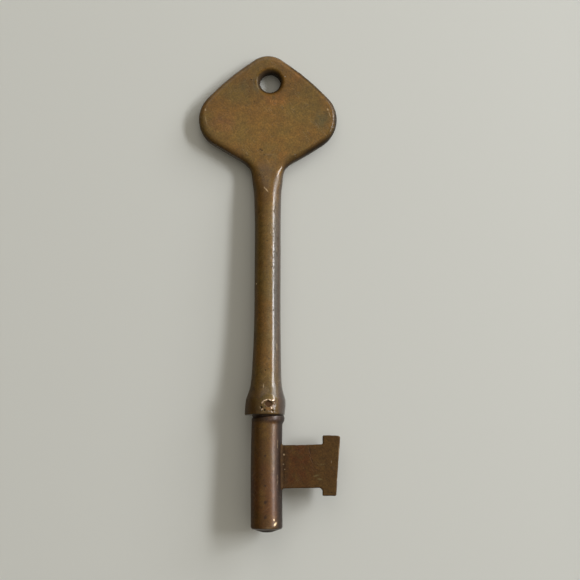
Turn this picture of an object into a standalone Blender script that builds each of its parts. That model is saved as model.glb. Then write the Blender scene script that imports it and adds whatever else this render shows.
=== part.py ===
"""Bit key: a cast bow and shank, a turned stem pinned into its collar, and a flat bit set in the stem.

The key lies along Y with the flat of its tip at the origin and its bow towards +Y. The bit points
towards +X, and the flat faces of bow and bit look along Z. Dimensions are in millimetres. The stem
is on the Y axis. The casting was fitted by hand, and its own centre line lies a little to -X.
"""

import math

import bmesh
import bpy
from mathutils import Matrix, Vector

MM = 0.001
TURN_STEPS = 36
ARC_STEP = math.radians(12)
EDGE_RESOLUTION = 2
WELD = 0.000001
OVERRUN = 1.0  # how far a cutter or guide runs past the surface that it trims

CASTING_X = -0.28

# Bow: a flat plate, its outline a polygon with rounded corners (half of it, x then y then radius).
BOW_THICKNESS = 2.8
BOW_EDGE_RADIUS = 1.15
BOW_CREST = (0.0, 99.4, 4.9)
BOW_FLANK = (8.6, 93.4, 50.0)
BOW_LOBE = (18.2, 83.0, 6.6)
BOW_NECK = (3.12, 74.05, 6.1)
BOW_FOOT = (2.5, 62.0)

# Ring hole near the top of the bow, with a rounded lip on both faces.
RING_HOLE_CENTRE = (CASTING_X + 0.45, 92.3)
RING_HOLE_RADIUS = 2.15
RING_LIP_START = 0.8
RING_LIP_SLOPE = math.radians(41)
RING_LIP_ROUND = 1.0

# Shank: turned, thinnest in the middle, with a nose that runs out under the faces of the bow.
NOSE_END = 72.4
NOSE_CORNER = (1.1, 71.7, 0.8)
SHANK_TOP = (2.76, 66.8, 10.0)
SHANK_WAIST = (2.69, 45.0, 200.0)
SHANK_FOOT = (3.06, 28.6, 14.0)

# Collar at the shank's foot, with the blind socket for the stem's tenon.
COLLAR_RADIUS = 4.03
COLLAR_FACE = 23.15
COLLAR_SHOULDER = (4.06, 25.85, 1.2)
COLLAR_EDGE_ROUND = 0.15
SOCKET_CLEARANCE = 0.1
SOCKET_END = 30.4

# Stem: turned, with a bead under the collar, a tenon above it and a blunt cone at the tip.
TENON_RADIUS = 2.2
TENON_END = 29.9
TENON_EDGE_ROUND = 0.3
COLLAR_GAP = 0.3
BEAD_RADIUS = 3.36
BEAD_FOOT_RADIUS = 3.28
BEAD_LENGTH = 0.95
BEAD_TOP_ROUND = 0.25
BEAD_FOOT_ROUND = 0.3
STEM_WAIST = (3.02, 21.5, 0.6)
STEM_NECK = (3.06, 19.5, 20.0)
STEM_RADIUS = 3.13
STEM_FULL = (STEM_RADIUS, 7.0, 100.0)
TIP_CONE_LENGTH = 0.75
TIP_FLAT_RADIUS = 0.8
TIP_EDGE_ROUND = 0.45

# Bit: a flat T-shaped plate, and a thinner tang that sits in a slot in the stem.
BIT_THICKNESS = 2.0
BIT_EDGE_ROUND = 0.12
BIT_SHOULDER_X = 3.2
BIT_LOW_Y = 8.7
BIT_HIGH_Y = 17.2
BIT_WARD_X = 11.05
HIGH_ARM_END = ((11.13, 19.05), (14.55, 18.95))
LOW_ARM_END = ((13.75, 7.15), (10.9, 7.1))
WARD_CORNER_ROUND = 0.5
ARM_CORNER_ROUND = 0.15
TANG_X = (1.4, 4.0)
TANG_Y = (BIT_LOW_Y + 0.3, BIT_HIGH_Y - 0.3)
TANG_THICKNESS = 1.6
SLOT_CLEARANCE = 0.1

# Pin: straight through collar and tenon, both ends spread into countersinks and filed flush.
PIN_Y = 25.2
PIN_X = 0.28
PIN_RADIUS = 1.2
PIN_HEAD_RADIUS = 1.65
PIN_HEAD_START = 2.9
PIN_HEAD_FULL = 3.5
PIN_CLEARANCE = 0.06
PUNCH_HALF_DIAGONAL = 0.9
PUNCH_DEPTH = 0.6

# Base colour (linear), roughness and metallic value of each piece.
FINISHES = {
    "bow_and_shank": ((0.29, 0.19, 0.075), 0.38, 1.0),
    "bit_stem": ((0.25, 0.145, 0.065), 0.36, 1.0),
    "bit_plate": ((0.17, 0.09, 0.04), 0.55, 1.0),
    "cross_pin": ((0.36, 0.24, 0.12), 0.32, 1.0),
}


def clear_scene():
    for obj in list(bpy.data.objects):
        bpy.data.objects.remove(obj, do_unlink=True)


def new_collection(name):
    collection = bpy.data.collections.new(name)
    bpy.context.scene.collection.children.link(collection)
    return collection


def rounded(corners, closed=False):
    """Points along a line through the corners, each (x, y) or (x, y, radius), with its arcs."""
    points = []
    count = len(corners)
    for index, corner in enumerate(corners):
        here = Vector(corner[:2])
        radius = corner[2] if len(corner) > 2 else 0.0
        at_end = not closed and index in (0, count - 1)
        if at_end or radius == 0.0:
            points.append(here)
            continue
        back = (Vector(corners[index - 1][:2]) - here).normalized()
        ahead = (Vector(corners[(index + 1) % count][:2]) - here).normalized()
        half = back.angle(ahead) / 2
        centre = here + (back + ahead).normalized() * radius / math.sin(half)
        start = here + back * radius / math.tan(half) - centre
        sweep = start.angle_signed(here + ahead * radius / math.tan(half) - centre)
        steps = max(1, math.ceil(abs(sweep) / ARC_STEP))
        for step in range(steps + 1):
            points.append(centre + Matrix.Rotation(-sweep * step / steps, 2) @ start)
    return points


def along_key(obj, offset_x=0.0):
    """Lay an object that was built along Z down along Y, on the line X = offset_x."""
    turn = Matrix.Rotation(math.radians(-90), 4, "X")
    obj.matrix_world = Matrix.Translation((offset_x * MM, 0.0, 0.0)) @ turn


def turned(name, corners, collection):
    """A solid turned about Z from a half profile of (radius, height), listed from top to bottom."""
    points = rounded(corners)
    mesh = bpy.data.meshes.new(name)
    vertices = [(point.x * MM, 0.0, point.y * MM) for point in points]
    edges = [(index, index + 1) for index in range(len(points) - 1)]
    mesh.from_pydata(vertices, edges, [])
    obj = bpy.data.objects.new(name, mesh)
    collection.objects.link(obj)
    screw = obj.modifiers.new("turn", "SCREW")
    screw.steps = TURN_STEPS
    screw.render_steps = TURN_STEPS
    screw.use_merge_vertices = True
    screw.merge_threshold = WELD
    return obj


def plate(name, points, thickness, edge_round, collection):
    """A flat plate with rounded edges in the XY plane, centred on Z, as one closed mesh."""
    curve = bpy.data.curves.new(name, "CURVE")
    curve.dimensions = "2D"
    curve.fill_mode = "BOTH"
    curve.extrude = (thickness / 2 - edge_round) * MM
    curve.bevel_depth = edge_round * MM
    curve.bevel_resolution = EDGE_RESOLUTION
    curve.offset = -edge_round * MM
    spline = curve.splines.new("POLY")
    spline.points.add(len(points) - 1)
    for spline_point, point in zip(spline.points, points):
        spline_point.co = (point.x * MM, point.y * MM, 0.0, 1.0)
    spline.use_cyclic_u = True
    outline = bpy.data.objects.new(name + "_outline", curve)
    collection.objects.link(outline)
    depsgraph = bpy.context.evaluated_depsgraph_get()
    mesh = bpy.data.meshes.new_from_object(outline.evaluated_get(depsgraph))
    work = bmesh.new()
    work.from_mesh(mesh)
    bmesh.ops.remove_doubles(work, verts=work.verts, dist=WELD)
    bmesh.ops.recalc_face_normals(work, faces=work.faces)
    work.to_mesh(mesh)
    work.free()
    obj = bpy.data.objects.new(name, mesh)
    obj.matrix_world = outline.matrix_world
    collection.objects.link(obj)
    bpy.data.objects.remove(outline, do_unlink=True)
    return obj


def combine(obj, other, operation):
    """Join, cut or trim a piece with another body, which becomes a hidden guide."""
    boolean = obj.modifiers.new(operation.lower(), "BOOLEAN")
    boolean.operation = operation
    boolean.solver = "EXACT"
    boolean.object = other
    other.hide_render = True
    other.display_type = "WIRE"


def finish(obj):
    """Give a piece its own material and shade its round faces smooth."""
    colour, roughness, metallic = FINISHES[obj.name]
    material = bpy.data.materials.new(obj.name)
    material.use_nodes = True
    shader = material.node_tree.nodes["Principled BSDF"]
    shader.inputs["Base Color"].default_value = (*colour, 1.0)
    shader.inputs["Roughness"].default_value = roughness
    shader.inputs["Metallic"].default_value = metallic
    material.diffuse_color = (*colour, 1.0)
    obj.data.materials.append(material)
    obj.data.shade_smooth()
    obj.data.set_sharp_from_angle(angle=math.radians(35))


def bow_outline():
    """The bow's outline: the listed half, then its mirror image."""
    right = [BOW_FLANK, BOW_LOBE, BOW_NECK, BOW_FOOT]
    left = [(-corner[0], *corner[1:]) for corner in reversed(right)]
    return rounded([BOW_CREST, *right, *left], closed=True)


def shank_body(name, collection):
    """Shank and collar as one solid, from the nose inside the bow to the collar's face."""
    profile = [
        (0.0, NOSE_END),
        NOSE_CORNER,
        SHANK_TOP,
        SHANK_WAIST,
        SHANK_FOOT,
        COLLAR_SHOULDER,
        (COLLAR_RADIUS, COLLAR_FACE, COLLAR_EDGE_ROUND),
        (0.0, COLLAR_FACE),
    ]
    body = turned(name, profile, collection)
    along_key(body, CASTING_X)
    return body


def ring_hole_cutter(cutters):
    """The ring hole, whose lips are cones that open towards both faces of the bow."""
    top = BOW_THICKNESS / 2 + OVERRUN
    mouth = RING_HOLE_RADIUS + (top - RING_LIP_START) / math.tan(RING_LIP_SLOPE)
    profile = [
        (0.0, top),
        (mouth, top),
        (RING_HOLE_RADIUS, RING_LIP_START, RING_LIP_ROUND),
        (RING_HOLE_RADIUS, -RING_LIP_START, RING_LIP_ROUND),
        (mouth, -top),
        (0.0, -top),
    ]
    cutter = turned("ring_hole_cutter", profile, cutters)
    cutter.location = (RING_HOLE_CENTRE[0] * MM, RING_HOLE_CENTRE[1] * MM, 0.0)
    return cutter


def pin_body(name, clearance, collection):
    """The pin with its spread ends, longer than the collar is wide."""
    shaft = PIN_RADIUS + clearance
    head = PIN_HEAD_RADIUS + clearance
    half_length = COLLAR_RADIUS + OVERRUN
    profile = [
        (0.0, half_length),
        (head, half_length),
        (head, PIN_HEAD_FULL),
        (shaft, PIN_HEAD_START),
        (shaft, -PIN_HEAD_START),
        (head, -PIN_HEAD_FULL),
        (head, -half_length),
        (0.0, -half_length),
    ]
    body = turned(name, profile, collection)
    body.location = (PIN_X * MM, PIN_Y * MM, 0.0)
    return body


def socket_cutter(cutters):
    """The blind hole for the tenon, which passes through the collar's face."""
    radius = TENON_RADIUS + SOCKET_CLEARANCE
    mouth = COLLAR_FACE - OVERRUN
    profile = [(0.0, SOCKET_END), (radius, SOCKET_END), (radius, mouth), (0.0, mouth)]
    cutter = turned("socket_cutter", profile, cutters)
    along_key(cutter)
    return cutter


def make_bow_and_shank(parts, cutters, pin_hole):
    bow = plate("bow_and_shank", bow_outline(), BOW_THICKNESS, BOW_EDGE_RADIUS, parts)
    bow.location.x = CASTING_X * MM
    combine(bow, shank_body("shank", cutters), "UNION")
    combine(bow, socket_cutter(cutters), "DIFFERENCE")
    combine(bow, ring_hole_cutter(cutters), "DIFFERENCE")
    combine(bow, pin_hole, "DIFFERENCE")
    return bow


def make_bit_stem(parts, cutters, pin_hole):
    bead_top = COLLAR_FACE - COLLAR_GAP
    profile = [
        (0.0, TENON_END),
        (TENON_RADIUS, TENON_END, TENON_EDGE_ROUND),
        (TENON_RADIUS, bead_top),
        (BEAD_RADIUS, bead_top, BEAD_TOP_ROUND),
        (BEAD_FOOT_RADIUS, bead_top - BEAD_LENGTH, BEAD_FOOT_ROUND),
        STEM_WAIST,
        STEM_NECK,
        STEM_FULL,
        (STEM_RADIUS, TIP_CONE_LENGTH, TIP_EDGE_ROUND),
        (TIP_FLAT_RADIUS, 0.0),
        (0.0, 0.0),
    ]
    stem = turned("bit_stem", profile, parts)
    along_key(stem)
    combine(stem, pin_hole, "DIFFERENCE")
    combine(stem, tang_block("slot_cutter", SLOT_CLEARANCE, cutters), "DIFFERENCE")
    return stem


def tang_block(name, clearance, collection):
    """A block as large as the bit's tang, grown by a clearance on every side."""
    low = Vector((TANG_X[0], TANG_Y[0], -TANG_THICKNESS / 2))
    high = Vector((TANG_X[1], TANG_Y[1], TANG_THICKNESS / 2))
    size = high - low + 2 * clearance * Vector((1.0, 1.0, 1.0))
    placing = Matrix.Translation((low + high) / 2 * MM) @ Matrix.Diagonal((*(size * MM), 1.0))
    work = bmesh.new()
    bmesh.ops.create_cube(work, size=1.0, matrix=placing)
    mesh = bpy.data.meshes.new(name)
    work.to_mesh(mesh)
    work.free()
    block = bpy.data.objects.new(name, mesh)
    collection.objects.link(block)
    return block


def make_bit_plate(parts, cutters):
    corners = [
        (BIT_SHOULDER_X, BIT_LOW_Y),
        (BIT_SHOULDER_X, BIT_HIGH_Y),
        (BIT_WARD_X, BIT_HIGH_Y, ARM_CORNER_ROUND),
        HIGH_ARM_END[0],
        HIGH_ARM_END[1],
        LOW_ARM_END[0],
        LOW_ARM_END[1],
        (BIT_WARD_X, BIT_LOW_Y, WARD_CORNER_ROUND),
    ]
    outline = rounded(corners, closed=True)
    bit = plate("bit_plate", outline, BIT_THICKNESS, BIT_EDGE_ROUND, parts)
    combine(bit, tang_block("bit_tang", 0.0, cutters), "UNION")
    return bit


def make_cross_pin(parts, cutters):
    pin = pin_body("cross_pin", 0.0, parts)
    combine(pin, shank_body("collar_envelope", cutters), "INTERSECT")
    combine(pin, punch_cutter(cutters), "DIFFERENCE")
    return pin


def punch_cutter(cutters):
    """A square point with its corners along X and Y, driven into the pin's upper end."""
    height = PUNCH_DEPTH + OVERRUN
    radius = PUNCH_HALF_DIAGONAL * height / PUNCH_DEPTH
    centre = COLLAR_RADIUS - PUNCH_DEPTH + height / 2
    work = bmesh.new()
    placing = Matrix.Translation(Vector((PIN_X, PIN_Y, centre)) * MM)
    bmesh.ops.create_cone(
        work,
        cap_ends=True,
        segments=4,
        radius1=0.0,
        radius2=radius * MM,
        depth=height * MM,
        matrix=placing,
    )
    mesh = bpy.data.meshes.new("punch_cutter")
    work.to_mesh(mesh)
    work.free()
    cutter = bpy.data.objects.new("punch_cutter", mesh)
    cutters.objects.link(cutter)
    return cutter


def main():
    clear_scene()
    parts = new_collection("bit_key")
    cutters = new_collection("cutters")
    pin_hole = pin_body("pin_hole_cutter", PIN_CLEARANCE, cutters)
    pieces = [
        make_bow_and_shank(parts, cutters, pin_hole),
        make_bit_stem(parts, cutters, pin_hole),
        make_bit_plate(parts, cutters),
        make_cross_pin(parts, cutters),
    ]
    for piece in pieces:
        finish(piece)


main()
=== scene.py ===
"""Looks of an old brass bit key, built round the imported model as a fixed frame.

Every visible piece is meshed from a signed distance field: a function that says how far a point is
from the surface, in millimetres and negative inside. Fields blend, cut and dent like clay, and
net() turns one into an even, closed mesh. The key lies along Y with its tip at the origin.
"""

import math

import bpy
import numpy as np
from mathutils import Matrix, Vector


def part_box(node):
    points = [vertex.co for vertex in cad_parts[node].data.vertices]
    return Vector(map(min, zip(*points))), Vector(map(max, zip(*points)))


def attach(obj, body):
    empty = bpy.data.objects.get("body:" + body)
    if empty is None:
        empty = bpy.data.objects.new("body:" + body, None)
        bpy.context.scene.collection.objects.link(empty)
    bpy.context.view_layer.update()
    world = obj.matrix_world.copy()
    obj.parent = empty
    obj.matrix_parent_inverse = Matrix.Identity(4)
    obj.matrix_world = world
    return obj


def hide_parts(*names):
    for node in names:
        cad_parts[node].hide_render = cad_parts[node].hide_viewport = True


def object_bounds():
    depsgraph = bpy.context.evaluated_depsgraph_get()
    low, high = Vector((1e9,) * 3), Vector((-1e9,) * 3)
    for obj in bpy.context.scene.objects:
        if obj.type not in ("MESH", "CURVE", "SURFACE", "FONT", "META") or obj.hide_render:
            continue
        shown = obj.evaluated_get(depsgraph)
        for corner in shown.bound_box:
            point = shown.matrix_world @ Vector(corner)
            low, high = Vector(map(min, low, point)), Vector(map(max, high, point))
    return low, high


MM = 0.001
THROUGH = 30.0  # a depth in millimetres that reaches right through the key
TINY = 1e-6  # keeps divisions away from zero

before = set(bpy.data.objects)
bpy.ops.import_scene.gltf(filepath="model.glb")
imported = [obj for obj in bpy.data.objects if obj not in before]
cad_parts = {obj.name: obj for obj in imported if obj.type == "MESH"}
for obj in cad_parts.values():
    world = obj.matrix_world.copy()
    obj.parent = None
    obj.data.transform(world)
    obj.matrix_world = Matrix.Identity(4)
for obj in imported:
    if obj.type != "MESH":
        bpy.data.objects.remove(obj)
cad_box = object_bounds()


def box_mm(node):
    """A CAD node's lowest and highest corners, in millimetres."""
    low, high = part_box(node)
    return np.array(low) / MM, np.array(high) / MM


CAST_LOW, CAST_HIGH = box_mm("bow_and_shank")
_, STEM_HIGH = box_mm("bit_stem")
BIT_LOW, BIT_HIGH = box_mm("bit_plate")
PIN_LOW, PIN_HIGH = box_mm("cross_pin")

# Where the frame puts things.
CAST_X = (CAST_LOW[0] + CAST_HIGH[0]) / 2
CREST_Y = CAST_HIGH[1]
COLLAR_Y = CAST_LOW[1]
COLLAR_RADIUS = CAST_HIGH[2]
BEAD_RADIUS = STEM_HIGH[0]
PIN_X = (PIN_LOW[0] + PIN_HIGH[0]) / 2
PIN_Y = (PIN_LOW[1] + PIN_HIGH[1]) / 2

# Bow: half of its outline as corners (x, distance below the crest, corner radius).
BOW_HALF_THICKNESS = 1.4
BOW_EDGE_POWER = 2.2
BOW_EDGE_REACH = (  # how far in from the outline the face starts to fall away, below the crest
    (0.0, 1.2), (9.0, 1.2), (15.0, 1.6), (20.0, 1.75), (32.0, 1.75),
)
BOW_CORNERS = (
    (0.0, -1.07, 4.9),
    (8.55, 4.95, 50.0),
    (18.2, 15.33, 6.6),
    (2.95, 24.38, 7.6),
    (0.9, 32.0, 0.0),
)
BOW_BULGE = (7.5, 21.5)  # x and distance below the crest, where the bit's side is a little fuller
BOW_BULGE_REACH = 4.0
BOW_BULGE_HEIGHT = 0.2
RING_HOLE = (0.45, 6.03)  # from the casting's line, below the crest
RING_HOLE_RADIUS = 2.15
RING_LIP_START = 0.75
RING_LIP_SPREAD = 1.15
RING_LIP_POWER = 1.3
RING_EDGE_ROUND = 0.3

# Shank: half width and half height against the distance above the collar's face.
SHANK_WIDTH = (
    (-1.0, 4.0), (2.3, 4.03), (2.95, 3.97), (3.75, 3.74), (4.55, 3.48), (5.5, 3.25), (7.0, 3.07),
    (11.0, 2.885), (18.3, 2.71), (30.0, 2.68), (41.8, 2.73), (45.8, 2.86), (48.4, 3.1),
    (50.0, 2.95), (53.0, 1.6),
)
SHANK_HEIGHT = (
    (-1.0, 4.0), (2.3, 4.03), (2.95, 3.97), (3.75, 3.74), (4.55, 3.48), (5.5, 3.25), (7.0, 3.07),
    (11.0, 2.885), (18.3, 2.71), (30.0, 2.68), (41.8, 2.72), (44.5, 2.68), (47.0, 2.35),
    (49.0, 1.7), (51.0, 1.1), (53.0, 0.6),
)
SHANK_SWAY = (  # above the collar's face, how far the middle lies towards the bit
    (-1.0, -0.36), (0.3, -0.3), (1.6, -0.2), (3.5, -0.12), (12.0, 0.08), (25.0, 0.13), (44.0, 0.08),
    (50.0, 0.0),
)
SHANK_DENT = (CAST_X - 4.1, 46.5, 0.4)  # the middle of the ball that makes it
SHANK_DENT_RADIUS = 1.6
DENT_BLEND = 0.15
SHANK_END = 52.5
COLLAR_EDGE_ROUND = 0.3
COLLAR_DROP = 0.15  # how far the collar's worn face bulges towards the stem
NECK_BLEND = 1.3

# Stem: half profile (radius, distance from the tip, corner radius).
STEM_SWAY = (  # distance from the tip, and how far the middle lies towards the bit there
    (0.0, -0.1), (20.0, -0.14), (21.3, -0.1), (22.1, 0.08), (22.7, 0.06), (23.1, -0.08), (24.0, -0.08),
)
BEAD_TOP = COLLAR_Y - 0.4
BEAD_TILT = 0.1  # the bead's top is not quite square, and rises towards the bit's side
STEM_PROFILE = (
    (0.5, -0.1, 0.0),
    (3.14, 0.75, 0.55),
    (3.14, 7.0, 100.0),
    (3.1, 19.5, 20.0),
    (3.09, BEAD_TOP - 1.4, 0.5),
    (BEAD_RADIUS - 0.06, BEAD_TOP - 0.8, 0.6),
    (BEAD_RADIUS - 0.04, BEAD_TOP + 0.8, 0.0),
)
TIP_EDGE_ROUND = 0.15
BEAD_EDGE_ROUND = 0.3
TENON_RADIUS = 3.08
TENON_REACH = 1.5

# Bit: its outline as corners (x, y, corner radius).
BIT_HALF_THICKNESS = 1.0
BIT_EDGE_ROUND = 0.22
BIT_ROOT = 2.2
BIT_WARD = 10.98
BIT_LOWER_EDGE = BIT_LOW[1] + 1.6
BIT_UPPER_EDGE = BIT_HIGH[1] - 1.85
BIT_CORNERS = (
    (BIT_ROOT, BIT_LOWER_EDGE - 0.15, 0.0),
    (BIT_ROOT, BIT_UPPER_EDGE - 0.15, 0.0),
    (8.5, BIT_UPPER_EDGE - 0.05, 20.0),
    (BIT_WARD, BIT_UPPER_EDGE + 0.1, 0.3),
    (BIT_WARD, BIT_HIGH[1], 0.2),
    (BIT_HIGH[0] - 0.05, BIT_HIGH[1] - 0.1, 0.3),
    (BIT_HIGH[0] - 0.9, BIT_LOW[1] + 0.05, 0.3),
    (BIT_WARD - 0.05, BIT_LOW[1], 0.25),
    (BIT_WARD, BIT_LOWER_EDGE, 0.75),
)
BIT_WAVES = ((0.018, 1.3, 0.7), (0.008, 4.1, -1.7))  # height, and radians per millimetre along X and Y
BIT_NICKS = (  # x, y, radius
    (14.5, 19.15, 0.28), (13.98, 10.2, 0.16), (14.45, 14.9, 0.2),
)
NICK_BLEND = 0.1

# Braze: the box it keeps to, and how it fills the corners between stem and bit.
BRAZE_LOW = (1.2, BIT_LOWER_EDGE - 1.2, -2.4)
BRAZE_HIGH = (4.4, BIT_UPPER_EDGE + 1.2, 2.4)
BRAZE_SINK = 0.03
BRAZE_BLEND = 0.6

# Pin: its spread head, and the diamond-shaped punch mark in the upper end with burrs round it.
PIN_HEAD_RADIUS = 1.95
PIN_HEAD_RISE = 0.03  # how proud its middle stands, and how far its rim falls below that
PIN_HEAD_FALL = 0.06
PIN_HEAD_ROOM = 0.1  # between the head and the box that the pin is meshed in
BURR_ROOM = 0.25
PIN_BORE_RADIUS = 1.25
PIN_BORE_FLOOR = 3.0
PUNCH = (0.2, 25.1)
PUNCH_HALF_DIAGONALS = (0.86, 0.74)
PUNCH_DEPTH = 0.3
PUNCH_WALL_SLOPE = 0.7
PUNCH_EDGE_ROUND = 0.08
PUNCH_BURRS = (  # start, end, radius
    ((-1.12, 25.2), (-0.8, 25.6), 0.2),
    ((-0.75, 25.65), (0.1, 25.95), 0.14),
    ((0.3, 25.9), (0.85, 25.75), 0.12),
    ((0.95, 25.72), (1.4, 25.8), 0.19),
    ((1.3, 25.5), (1.35, 25.1), 0.07),
    ((0.7, 24.35), (0.86, 24.1), 0.16),
    ((-1.15, 23.93), (-0.97, 24.0), 0.17),
)
BURR_SINK = 0.4  # share of a burr's radius that lies below the collar's surface
BURR_BLEND = 0.18
PUNCH_PITS = ((-1.16, 24.4, 0.2), (-0.56, 23.83, 0.18), (1.08, 23.76, 0.16))
PIT_CLEARANCE = 0.06  # how much wider the casting is cut than the pits in the pin's head
SHARP_BLEND = 0.05

# Mesh cells in millimetres.
CAST_CELL = 0.165
STEM_CELL = 0.13
BIT_CELL = 0.1
PIN_CELL = 0.06
MARGIN_CELLS = 2.5
EVENING_ROUNDS = 4
EVENING_SHARE = 0.6

# Table: where the collar touches it, above the collar's face, and a hair of clearance.
TOUCH_ABOVE_COLLAR = 1.3
FLOOR_GAP = 0.03
FLOOR_MIDDLE_Y = 50.0
FLOOR_SIZE = 30.0  # metres

# Camera, in degrees and millimetres: its place was worked out from the photo's perspective.
CAMERA_TILT = 9.116
CAMERA_TURN = 0.116
CAMERA_DISTANCE = 237.7
CAMERA_SHIFT = (4.57, -0.68)  # from the middle of the key's box to the middle of the view
CAMERA_LENS = 72.31
CAMERA_SENSOR = 36.0


def smooth_min(a, b, blend):
    share = np.clip(0.5 + 0.5 * (b - a) / blend, 0.0, 1.0)
    return b + (a - b) * share - blend * share * (1.0 - share)


def smooth_max(a, b, blend):
    return -smooth_min(-a, -b, blend)


def through(stations):
    """A smooth function through (place, value) stations, flat beyond its ends."""
    places, values = np.array(stations, float).T
    slopes = np.gradient(values, places)

    def value_at(at):
        at = np.clip(at, places[0], places[-1])
        index = np.clip(np.searchsorted(places, at) - 1, 0, len(places) - 2)
        width = places[index + 1] - places[index]
        t = (at - places[index]) / width
        lift = t * t * (3 - 2 * t)
        leave = t * (1 - t) ** 2 * width
        arrive = -t * t * (1 - t) * width
        return (
            values[index] * (1 - lift)
            + values[index + 1] * lift
            + slopes[index] * leave
            + slopes[index + 1] * arrive
        )

    return value_at


def rounded(corners, closed, arc_step=math.radians(4)):
    """Points along a line through the corners, each (x, y, radius), with its arcs."""
    points = []
    count = len(corners)
    for index, (x, y, radius) in enumerate(corners):
        here = Vector((x, y))
        at_end = not closed and index in (0, count - 1)
        if at_end or radius == 0.0:
            points.append(here)
            continue
        back = (Vector(corners[index - 1][:2]) - here).normalized()
        ahead = (Vector(corners[(index + 1) % count][:2]) - here).normalized()
        half = back.angle(ahead) / 2
        centre = here + (back + ahead).normalized() * radius / math.sin(half)
        start = here + back * radius / math.tan(half) - centre
        sweep = start.angle_signed(here + ahead * radius / math.tan(half) - centre)
        steps = max(2, math.ceil(abs(sweep) / arc_step))
        for step in range(steps + 1):
            points.append(centre + Matrix.Rotation(-sweep * step / steps, 2) @ start)
    return np.array(points, float)


class Outline:
    """Signed distance to a closed outline in the XY plane, read from a fine grid."""

    STEP = 0.1
    MARGIN = 3.0

    def __init__(self, corners):
        points = rounded(corners, closed=True)
        self.low = points.min(0) - self.MARGIN
        counts = np.ceil((points.max(0) + self.MARGIN - self.low) / self.STEP).astype(int) + 1
        x = self.low[0] + self.STEP * np.arange(counts[0])
        y = self.low[1] + self.STEP * np.arange(counts[1])
        x, y = np.meshgrid(x, y, indexing="ij")
        nearest = np.full(x.shape, np.inf)
        inside = np.zeros(x.shape, bool)
        for (ax, ay), (bx, by) in zip(points, np.roll(points, -1, axis=0)):
            dx, dy = bx - ax, by - ay
            t = np.clip(((x - ax) * dx + (y - ay) * dy) / (dx * dx + dy * dy), 0.0, 1.0)
            nearest = np.minimum(nearest, np.hypot(x - ax - t * dx, y - ay - t * dy))
            crosses = (ay > y) != (by > y)
            if dy:
                inside ^= crosses & (x < ax + (y - ay) * dx / dy)
        self.values = np.where(inside, -nearest, nearest)

    def __call__(self, x, y):
        u = np.clip((x - self.low[0]) / self.STEP, 0, self.values.shape[0] - 1.001)
        v = np.clip((y - self.low[1]) / self.STEP, 0, self.values.shape[1] - 1.001)
        i, j = u.astype(int), v.astype(int)
        u, v = u - i, v - j
        grid = self.values
        near = grid[i, j] * (1 - v) + grid[i, j + 1] * v
        far = grid[i + 1, j] * (1 - v) + grid[i + 1, j + 1] * v
        return near * (1 - u) + far * u


def plate_field(edge, z, half_thickness, edge_round):
    """A flat plate with rounded edges, from its outline's distance."""
    across = edge + edge_round
    up = np.abs(z) - half_thickness + edge_round
    outside = np.hypot(np.maximum(across, 0.0), np.maximum(up, 0.0))
    return outside + np.minimum(np.maximum(across, up), 0.0) - edge_round


def cushion_field(edge, z, half_thickness, reach, power):
    """A plate whose faces fall away softly towards its outline."""
    across = np.maximum(edge + reach, TINY) / reach
    up = np.maximum(np.abs(z), TINY) / half_thickness
    level = (across**power + up**power) ** (1.0 / power)
    inward = (across / level) ** (power - 1) / reach
    upward = (up / level) ** (power - 1) / half_thickness
    return (level - 1.0) / np.hypot(inward, upward)


def oval_field(x, z, width, height):
    """An oval bar along Y, nearly a true distance close to its surface."""
    reach = np.hypot(x / width, z / height)
    steepness = np.hypot(x / width**2, z / height**2)
    return (reach - 1.0) * reach / np.maximum(steepness, TINY)


def ball_field(x, y, z, centre, radius):
    return np.sqrt((x - centre[0]) ** 2 + (y - centre[1]) ** 2 + (z - centre[2]) ** 2) - radius


def rod_field(x, y, z, start, end, radius):
    """A thin rod with round ends between two points."""
    along = np.subtract(end, start)
    gap = np.stack([x - start[0], y - start[1], z - start[2]], -1)
    share = np.clip(gap @ along / (along @ along), 0.0, 1.0)
    return np.linalg.norm(gap - share[..., None] * along, axis=-1) - radius


def mirrored(corners):
    """A whole outline from its right half, whose first corner is on the middle line."""
    left = [(-x, y, radius) for x, y, radius in reversed(corners[1:])]
    return list(corners) + left


shank_width = through(SHANK_WIDTH)
shank_height = through(SHANK_HEIGHT)
shank_sway = through(SHANK_SWAY)
bow_edge_reach = through(BOW_EDGE_REACH)
stem_sway = through(STEM_SWAY)
bow_edge = Outline(mirrored([(x, CREST_Y - down, r) for x, down, r in BOW_CORNERS]))
bit_edge = Outline(BIT_CORNERS)
stem_line = rounded(STEM_PROFILE, closed=False)
stem_slope = np.gradient(stem_line[:, 0], stem_line[:, 1])


def ring_hole_field(x, y, z):
    """The ring hole, whose lips open out towards both faces."""
    rise = np.maximum(np.abs(z) - RING_LIP_START, 0.0)
    radius = RING_HOLE_RADIUS + RING_LIP_SPREAD * rise**RING_LIP_POWER
    return np.hypot(x - CAST_X - RING_HOLE[0], y - CREST_Y + RING_HOLE[1]) - radius


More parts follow.
